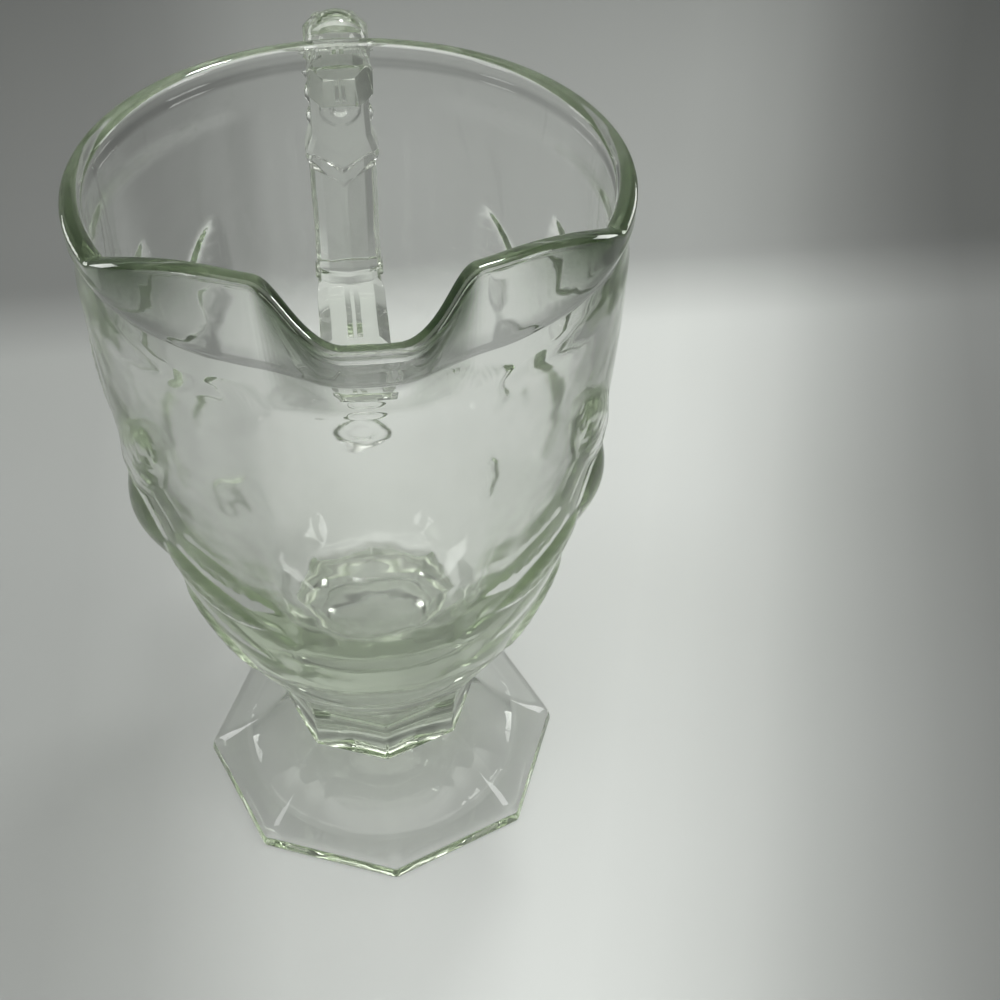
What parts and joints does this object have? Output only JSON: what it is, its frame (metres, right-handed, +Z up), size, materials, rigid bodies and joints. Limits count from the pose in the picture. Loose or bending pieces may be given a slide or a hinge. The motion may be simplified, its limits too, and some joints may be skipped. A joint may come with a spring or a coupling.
{
  "type": "glass creamer",
  "caption": "Footed creamer of clear pressed glass: egg-shaped bowl with a pouring lip and fruit-and-leaf relief, octagonal stem and foot, upright faceted handle.",
  "frame": {"origin": "on the table under the creamer, midway between the lip's tip and the back of the handle", "axes": "+Z up, the lip points to -Y and the handle to +Y, +X to the right of someone who looks along +Y"},
  "size_m": [0.08, 0.1086, 0.1352],
  "materials": {
    "pressed_glass": "clear fire-polished pressed glass with a faint green in its thick parts"
  },
  "bodies": {
    "root": {"bowl": "pressed_glass", "stem": "pressed_glass", "foot": "pressed_glass", "handle_upper_arm": "pressed_glass", "handle_grip": "pressed_glass", "handle_lower_arm": "pressed_glass"}
  },
  "joints": []
}
